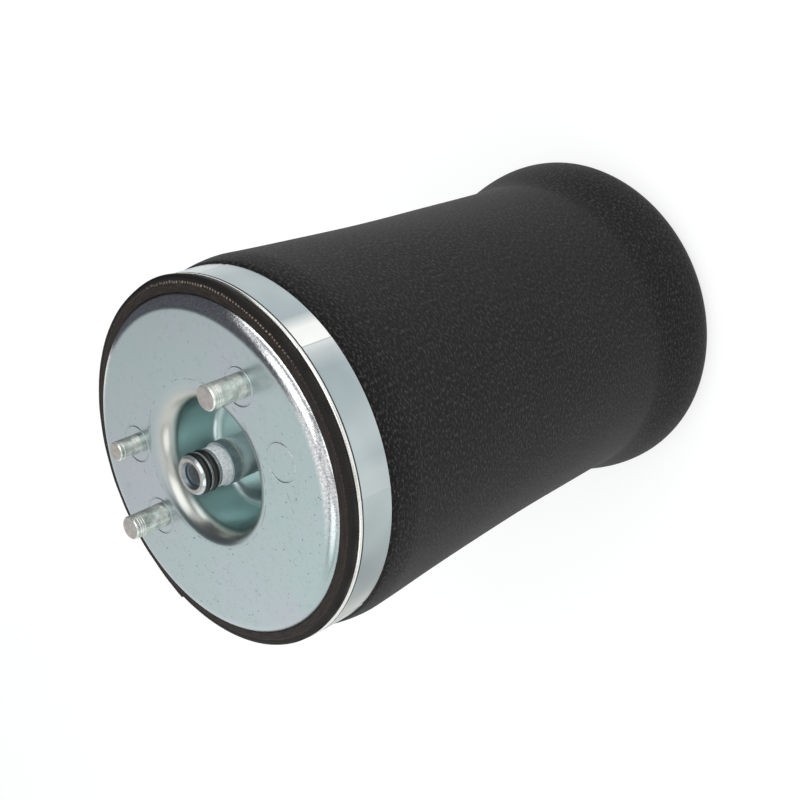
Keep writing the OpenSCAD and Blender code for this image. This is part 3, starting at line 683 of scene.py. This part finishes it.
# An O-ring: a round section with the thin flash line of its mould on the outside
def oRing(node):
    form = {"flash": 0.03, "points": 36}
    low, high = boxOf(node)
    section = (high[2] - low[2]) / 2
    at = high[0] - section
    line = arc(at, (low[2] + high[2]) / 2, section, 0, 360, form["points"] + 1)[:-1]
    line[0, 0] += form["flash"]
    ring = turned(node + "_moulded", line, nitrile, segments=120)
    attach(ring, "upper_mount")
    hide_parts(node)


# The crimp ring: strip with rolled edges and a groove under the upper one. Each of the dies presses a
# slightly flatter stretch, a parabola of the way along it, deeper at its start, so that a low step is left
# where two dies met, with a thin ridge on it
def crimpRing():
    form = {"flatten": 0.08, "step": 0.12, "stepWidth": 3.5, "ridge": 0.12, "ridgeWidth": 0.7, "skin": 0.3,
            "edge": 0.95, "grooveRise": (-0.45, -0.2, 0.05, 0.3), "grooveDepth": 0.22}
    r, inner = crimp["outer"], crimp["inner"]
    low, lowFloor, highFloor, high = (ringTop - crimp["grooveDrop"] + rise for rise in form["grooveRise"])
    floor = r - form["grooveDepth"]
    corners = [(inner, ringBottom, 0.2), (r, ringBottom, 0.4), (r, low, 0.1), (floor, lowFloor, 0.1),
               (floor, highFloor, 0.1), (r, high, 0.1), (r, ringTop, form["edge"]), (inner, ringTop, 0.2)]

    def pressed(a, radius, height):
        sector = 2 * math.pi / crimp["dies"]
        phase = (a - math.radians(crimp["first"])) % sector
        fromStart, toEnd = phase * r, (sector - phase) * r
        middle = 2 * phase / sector - 1
        outside = np.clip((radius - (r + inner) / 2) / form["skin"], 0, 1)
        sunk = form["flatten"] * (1 - middle ** 2)
        sunk = sunk + form["step"] * np.clip(1 - fromStart / form["stepWidth"], 0, 1) ** 1.5
        ridge = form["ridge"] * np.exp(-(np.minimum(fromStart, toEnd) / form["ridgeWidth"]) ** 2)
        return radius + outside * (ridge - sunk), height

    ring = turned("crimped_ring", roundedLine(corners, stepDegrees=10), strip, segments=960, shape=pressed,
                  sharpDegrees=45)
    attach(ring, "upper_mount")
    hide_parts("upper_crimp_ring")


# The sleeve's section: clamped between clampInner and clampOuter up to clampDrop under the ring's top, it
# swells below the ring, turns inwards at its rim in a half circle, and climbs at the radius roll to the neck
sleeveForm = {"wall": 4.2, "clampInner": 70.05, "clampOuter": 74.5, "clampDrop": 1, "swell": 2,
              "swellDrop": 12.7, "tuckIn": 0.85, "waist": 72.4, "waistHeight": 43, "flare": 1.6, "roll": 52.3,
              "rollTop": 50, "neck": 46.3, "neckTop": 118, "shoulderTop": 98}
lobeRadius = (rimRadius - sleeveForm["roll"]) / 2
lobeCentre = rimRadius - lobeRadius


# Outside radius of the sleeve at a height: it swells below the crimp ring, eases to the waist as a
# square, and flares to the lobe's rim as a power of a sine
def sleeveRadius(z):
    f = sleeveForm
    bulge, swellHeight = crimp["outer"] + f["swell"], ringBottom - f["swellDrop"]
    upper = bulge - f["tuckIn"] * f["swell"] * ((z - swellHeight) / f["swellDrop"]) ** 2
    climb = np.clip(z - f["waistHeight"], 0, None) / (swellHeight - f["waistHeight"])
    middle = f["waist"] + (bulge - f["waist"]) * climb ** 2
    share = np.clip((f["waistHeight"] - z) / (f["waistHeight"] - lobeRadius), 0, 1)
    lower = f["waist"] + (rimRadius - f["waist"]) * np.sin(share * math.pi / 2) ** f["flare"]
    return np.where(z > swellHeight, upper, np.where(z > f["waistHeight"], middle, lower))


# Outer wall of the sleeve, from the crimp ring down to the bottom of the lobe, with its real thickness.
# Where it's free, its radius wanders by a few sines of angle and height: each of the waves is
# (depth, times round, mm of height to a radian, start)
def sleeveOuterWall():
    form = {"middle": 60, "outsideDrop": 1.2, "gripDrop": 1, "gripSwell": 0.4, "pinch": 0.2, "skirtDrop": 0.5,
            "heldDrop": 4, "heldFade": 20, "lobeFade": 30,
            "waves": ((0.16, 3, 38, 0.7), (0.1, 7, -21, 2), (0.05, 13, 11, 0))}
    f = sleeveForm
    z = np.concatenate([np.linspace(lobeRadius, form["middle"], 40)[1:],
                        np.linspace(form["middle"], ringBottom - form["outsideDrop"], 90)[1:]])
    outside = np.concatenate([arc(lobeCentre, lobeRadius, lobeRadius, -90, 0, 30),
                              np.stack([sleeveRadius(z), z], 1)])
    pinched, clampTop = ringBottom - form["pinch"], ringTop - f["clampDrop"]
    grip = roundedLine([(crimp["outer"] + form["gripSwell"], ringBottom - form["gripDrop"]),
                        (crimp["outer"] - form["pinch"], pinched, 0.4), (f["clampOuter"], pinched, 0.2),
                        (f["clampOuter"], clampTop), (f["clampInner"], clampTop),
                        (f["clampInner"], skirtHeight - form["skirtDrop"])], closed=False)
    rows = z[::-3]
    inside = np.concatenate([np.stack([sleeveRadius(rows) - f["wall"], rows], 1)[4:],
                             arc(lobeCentre, lobeRadius, lobeRadius - f["wall"], 0, -90, 16)])
    outline = np.concatenate([outside, grip, inside])

    def uneven(a, radius, height):
        free = np.clip((ringBottom - form["heldDrop"] - height) / form["heldFade"], 0, 1)
        free = free * np.clip(height / form["lobeFade"], 0, 1)
        wander = sum(depth * np.sin(times * a + height / rise + start)
                     for depth, times, rise, start in form["waves"])
        return radius + free * wander, height

    wall = turned("sleeve_outer_wall", outline, rubber, segments=288, shape=uneven)
    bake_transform(wall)
    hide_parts("bellows_sleeve")


# Inner wall of the sleeve: from the bottom of the lobe up the piston and over its shoulder to the neck.
# "facing" is the side on the piston, and "away" the side in the air space
def sleeveInnerWall():
    form = {"ease": 0.3, "facingTurn": 84, "facingLift": 0.6, "awayTurn": 56, "awayLift": 3.4}
    f = sleeveForm
    shoulderAt = (f["neck"] - form["ease"], f["shoulderTop"] - f["roll"] + f["neck"])
    bend = f["roll"] - f["neck"] + form["ease"]
    neck, roll = f["neck"], f["roll"]
    facing = np.concatenate([arc(lobeCentre, lobeRadius, lobeRadius, -90, -180, 30), [[roll, f["rollTop"]]],
                             arc(*shoulderAt, bend, 0, form["facingTurn"], 10),
                             [[neck, f["shoulderTop"] + form["facingLift"]], [neck, f["neckTop"]]]])
    neck, roll = neck + f["wall"], roll + f["wall"]
    away = np.concatenate([[[neck, f["neckTop"]], [neck, f["shoulderTop"] + form["awayLift"]]],
                           arc(*shoulderAt, bend + f["wall"], form["awayTurn"], 0, 8), [[roll, f["rollTop"]]],
                           arc(lobeCentre, lobeRadius, lobeRadius - f["wall"], -180, -90, 20)])
    wall = turned("sleeve_inner_wall", np.concatenate([facing, away])[::-1], rubber, segments=288)
    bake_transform(wall)
    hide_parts("bellows_sleeve")


# The sleeve's cut end: squeezed out of the ring, it bulges over it in an arc, and its top slopes down
# outwards from the plate's shoulder in two soft strips, with a dip at the cords between them. It's fuller
# on one side, lifted over the spliced overlap, which ends in a step, and nibbled by the knife in fine
# teeth. Angles are in degrees
def sleeveCutEnd():
    form = {"proud": 3.8, "slope": 0.4, "bulge": 1.2, "seat": 0.1, "foot": 40, "footRadius": 75.2,
            "cord": 73.1, "dip": 0.14, "dipWidth": 0.16, "crown": 0.12, "tuck": 0.25, "tuckFrom": 0.98,
            "ringGap": 0.02, "clear": 0.1, "tooth": 0.42, "toothPitch": 1.05, "toothShare": 0.7,
            "toothBeat": 29, "fuller": 0.8, "fullerFrom": (38, 56), "fullerTo": (98, 78),
            "splice": (-159, -143), "spliceLift": 1.1, "plyWave": 0.05, "plyStrips": 9, "held": 0.6}
    inner, outer = sleeveForm["clampInner"], sleeveForm["clampOuter"]
    shoulder = plateForm["shoulder"]
    r = (form["proud"] - form["slope"] - form["seat"]) / 2
    at = (outer + form["bulge"] - r, ringTop + form["seat"] + r)
    crest = at[1] + r
    leanHeight = crest + form["slope"]
    lean = plateRadius - shoulder + form["clear"]
    lean += math.sqrt(shoulder ** 2 - (leanHeight - flatHeight + shoulder) ** 2)
    across = np.linspace(0, 1, 25)[1:]
    topRadius = at[0] + (lean - at[0]) * across
    ply = np.clip((form["cord"] - topRadius) / (form["cord"] - lean), 0, 1)
    top = crest + form["slope"] * across
    top += form["crown"] * np.sin(math.pi * ply) ** 0.7
    top -= form["dip"] * np.exp(-((topRadius - form["cord"]) / form["dipWidth"]) ** 2)
    top -= form["tuck"] * (ply > form["tuckFrom"])
    clampTop, seatHeight = ringTop - sleeveForm["clampDrop"], ringTop + form["ringGap"]
    seat = [[inner, flatHeight - shoulder + form["clear"]], [inner, clampTop], [outer, clampTop],
            [outer, seatHeight], [form["footRadius"], seatHeight]]
    outline = np.concatenate([seat, arc(*at, r, -form["foot"], 90, 20), np.stack([topRadius, top], 1)])
    steps = np.linalg.norm(np.diff(outline, axis=0), axis=1)
    cordAt = np.interp(form["cord"], topRadius[::-1], np.cumsum(steps)[-len(across):][::-1])
    teeth = round(2 * math.pi * outer / form["toothPitch"])

    def marked(a, radius, height):
        degrees = (np.degrees(a) + 180) % 360 - 180
        splice = progress(degrees, *form["splice"]) ** 1.5 * (degrees < form["splice"][1])
        fuller = eased(progress(degrees, *form["fullerFrom"])) * eased(progress(degrees, *form["fullerTo"]))
        outside = progress(radius, inner, outer)
        above = np.clip((height - ringTop) / form["held"], 0, 1)
        beat = form["toothShare"] + (1 - form["toothShare"]) * np.sin(form["toothBeat"] * a)
        tooth = form["tooth"] * (0.5 + 0.5 * np.sin(teeth * a)) * beat * outside ** 6
        lift = form["spliceLift"] * splice + form["fuller"] * fuller
        plies = form["plyWave"] * np.sin(radius * form["plyStrips"] + 3 * np.sin(5 * a)) * (height > crest)
        return radius + above * outside * lift - above * tooth, height + plies

    cut = cutRubber(cordAt, 2 * math.pi * outline[:, 0].max())
    end = turned("sleeve_cut_end", outline, cut, segments=1760, shape=marked, sharpDegrees=60)
    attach(end, "upper_mount")
    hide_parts("bellows_sleeve")


# The piston keeps its solid's own shape, with its moulded edges broken
def mouldedPiston():
    form = {"gap": 0.002, "flat": 1, "edge": 0.4, "edgeTurn": 40}
    piston = newObject("moulded_piston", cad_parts["piston"].data.copy())
    merge(piston.data, form["gap"] * mm, form["flat"])
    refinish(piston.data, nylon)
    bevel = piston.modifiers.new("edges", "BEVEL")
    bevel.width, bevel.segments = form["edge"] * mm, 2
    bevel.limit_method, bevel.angle_limit = "ANGLE", math.radians(form["edgeTurn"])
    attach(piston, "rolling_piston")
    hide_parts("piston")


# The insert: flanged steel bush with a cut thread. The bore's radius is a flattened triangle wave of
# height minus pitch times angle over a full turn, and the thread runs out at both ends
def threadedInsert():
    form = {"flange": 11, "flangeThickness": 2, "outer": 8, "length": 24, "hole": 4.25, "crest": 0.85,
            "pitch": 1.5, "crestFlat": 1.25, "flank": 1.5, "chamfer": 0.8, "topChamfer": 0.3,
            "rowStep": 0.16, "topGap": 0.6, "lowGap": 0.9, "runOut": 1.2}
    hole, pitch, chamfer = form["hole"], form["pitch"], form["chamfer"]
    base = boxOf("mount_insert")[0][2]
    end, step = base + form["length"], base + form["flangeThickness"]
    z = np.arange(end - form["topGap"], base + form["lowGap"], -form["rowStep"])
    bore = np.stack([0 * z + hole, z], 1)
    body = roundedLine([(hole + chamfer, base), (form["flange"], base, 0.3), (form["flange"], step, 0.3),
                        (form["outer"], step), (form["outer"], end, 0.4), (hole + form["topChamfer"], end)],
                       closed=False)

    def threaded(a, radius, height):
        phase = ((height - pitch * a / (2 * math.pi)) / pitch) % 1
        depth = form["crest"] * np.clip(form["crestFlat"] - abs(2 * phase - 1) * form["flank"], 0, 1)
        fade = np.clip((height - base - chamfer) / form["runOut"], 0, 1)
        fade = fade * np.clip(end - form["topChamfer"] - height, 0, 1)
        return np.where(abs(radius - hole) < 1e-6, radius + depth * fade, radius), height

    insert = turned("threaded_insert", np.concatenate([body, bore]), nozzleSteel, segments=96, shape=threaded,
                    sharpDegrees=40)
    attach(insert, "rolling_piston")
    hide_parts("mount_insert")


# Nodes whose solids already have the right shape only get their finish
def finishNodes():
    finishes = {"nozzle_seal": nitrile, "nozzle_nut": nozzleSteel, "lower_crimp_ring": strip,
                "bump_stop": foam, "bump_stop_cup": zinc, "bump_stop_screw": pinSteel}
    for node, material in finishes.items():
        refinish(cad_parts[node].data, material)


topPlate()
print("plate made")
for node, rings in (("long_pin_a", 3), ("long_pin_b", 3), ("short_pin", 1)):
    fixingPin(node, rings)
airNozzle()
for node in ("nozzle_o_ring_outer", "nozzle_o_ring_inner"):
    oRing(node)
crimpRing()
print("pins, nozzle and ring made")
sleeveOuterWall()
sleeveInnerWall()
sleeveCutEnd()
mouldedPiston()
threadedInsert()
finishNodes()
print("sleeve and piston made")


# Camera: a lens and place worked out from the photograph, held with a roll about its own axis
def setCamera():
    view = {"place": (438.33, 0, 543.69), "heading": 180.648, "down": 42.59, "roll": -113.299,
            "focalPixels": 1346.4, "framePixels": 800, "sensor": 36}
    heading, down, roll = (math.radians(view[k]) for k in ("heading", "down", "roll"))
    ahead = Vector((math.cos(heading) * math.cos(down), math.sin(heading) * math.cos(down), -math.sin(down)))
    level = ahead.cross(Vector((0, 0, 1))).normalized()
    upright = level.cross(ahead)
    right = math.cos(roll) * level + math.sin(roll) * upright
    up = right.cross(ahead)
    data = bpy.data.cameras.new("camera")
    data.sensor_width = view["sensor"]
    data.lens = view["focalPixels"] / view["framePixels"] * view["sensor"]
    camera = newObject("camera", data)
    turn = Matrix((right, up, -ahead)).transposed().to_4x4()
    camera.matrix_world = Matrix.Translation(Vector(view["place"]) * mm) @ turn
    bpy.context.scene.camera = camera


# An empty tree of nodes for a world or a material
def emptyTree(owner):
    owner.use_nodes = True
    owner.node_tree.nodes.clear()
    return owner.node_tree


# Ends a tree with two shaders: one for rays that see the surroundings as they look, from the camera or off
# metal and glass, and another for all the light that they give
def showAndLight(tree, kind, seen, giving):
    path = add(tree, "LightPath").outputs
    direct = calculate(tree, "MAXIMUM", path["Is Camera Ray"], path["Is Glossy Ray"])
    direct = calculate(tree, "MAXIMUM", direct, path["Is Transmission Ray"])
    mixed = add(tree, "MixShader", {0: direct, 1: giving.outputs[0], 2: seen.outputs[0]})
    tree.links.new(mixed.outputs[0], add(tree, kind).inputs["Surface"])


# The white tent all round
def setTent():
    look = {"light": "#f3f5f7", "strength": 0.7, "seenStrength": 1.0}
    scene = bpy.context.scene
    scene.view_settings.view_transform = "Standard"
    scene.world = bpy.data.worlds.new("tent")
    tree = emptyTree(scene.world)
    plain = add(tree, "Background", {"Color": linear(look["light"]), "Strength": look["strength"]})
    white = add(tree, "Background", {"Color": (1, 1, 1, 1), "Strength": look["seenStrength"]})
    showAndLight(tree, "OutputWorld", white, plain)


def sheet(name, points, faces, material):
    made = newObject(name, bpy.data.meshes.new(name))
    made.data.from_pydata(points, [], faces)
    made.data.materials.append(material)
    return made


def rectangle(x, y, z):
    return [(-x, -y, z), (x, -y, z), (x, y, z), (-x, y, z)]


# Cloth that only shows in shiny surfaces
def hungCloth(name, points, faces, material, place=Matrix()):
    cloth = sheet(name, points, faces, material)
    cloth.matrix_world = place
    cloth.visible_camera = cloth.visible_diffuse = cloth.visible_shadow = False


# Softboxes with rims of black cloth, above and beside the camera. Each is (azimuth, height angle, distance
# in m, width, height in m, power in W)
def setSoftboxes():
    lamps = {"softboxHigh": (27, 53, 1.3, 1.1, 0.85, 5.6), "softboxLow": (40, 12, 1.4, 1.9, 0.4, 5.6),
             "softboxSide": (-17, 12, 1.4, 0.6, 0.4, 1.4), "softboxFar": (-72, 38, 1.4, 0.85, 0.65, 3.0)}
    form = {"target": (0, 0, 0.2), "rim": 0.15, "rimBehind": 0.01}
    rimCloth = newMaterial("black rim cloth", Roughness=1, Base_Color=linear("#141517"))[0]
    for name, (azimuth, height, distance, width, tall, power) in lamps.items():
        data = bpy.data.lights.new(name, "AREA")
        data.shape = "RECTANGLE"
        data.size, data.size_y, data.energy = width, tall, power
        a, h = math.radians(azimuth), math.radians(height)
        away = Vector((math.cos(a) * math.cos(h), math.sin(a) * math.cos(h), math.sin(h)))
        lamp = newObject(name, data)
        turn = away.to_track_quat("Z", "Y").to_matrix().to_4x4()
        lamp.matrix_world = Matrix.Translation(Vector(form["target"]) + away * distance) @ turn
        lamp.visible_camera = False
        corners = rectangle(width / 2 + form["rim"], tall / 2 + form["rim"], form["rimBehind"])
        hungCloth(name + "_rim", corners, [(0, 1, 2, 3)], rimCloth, lamp.matrix_world)


# A curved wall of grey felt on the far side, which the plate's shoulder and lip reflect: points
# (r cos a, r sin a, 0 or height), with a between two azimuths
def feltWall():
    form = {"from": 77, "to": 158, "radius": 0.62, "height": 3.6, "columns": 24}
    greyFelt = newMaterial("grey felt", Roughness=1, Base_Color=linear("#54565c"))[0]
    edge = arc(0, 0, form["radius"], form["from"], form["to"], form["columns"])
    points = [(x, y, z) for z in (0, form["height"]) for x, y in edge]
    i = np.arange(form["columns"] - 1)
    faces = np.stack([i + 1, i, i + form["columns"], i + form["columns"] + 1], 1)
    hungCloth("felt_wall", points, faces, greyFelt)


# A sweep of white paper, just under the part. It glows faintly where it's seen, so that it ends in white
# while it keeps the shadow
def paperFloor():
    form = {"reach": 6, "drop": 0.0002, "paper": "#e9eaeb", "shaded": "#a0a0a0", "glow": 0.72}
    whitePaper = bpy.data.materials.new("white paper")
    tree = emptyTree(whitePaper)
    paper = add(tree, "BsdfDiffuse", {"Color": linear(form["paper"])})
    shaded = add(tree, "BsdfDiffuse", {"Color": linear(form["shaded"])})
    glow = add(tree, "Emission", {"Color": (1, 1, 1, 1), "Strength": form["glow"]})
    bright = add(tree, "AddShader", {0: shaded.outputs[0], 1: glow.outputs[0]})
    showAndLight(tree, "OutputMaterial", bright, paper)
    corners = rectangle(form["reach"], form["reach"], -form["drop"])
    floor = sheet("floor", corners, [(0, 1, 2, 3)], whitePaper)


setCamera()
setTent()
setSoftboxes()
feltWall()
paperFloor()
print("camera and light set")
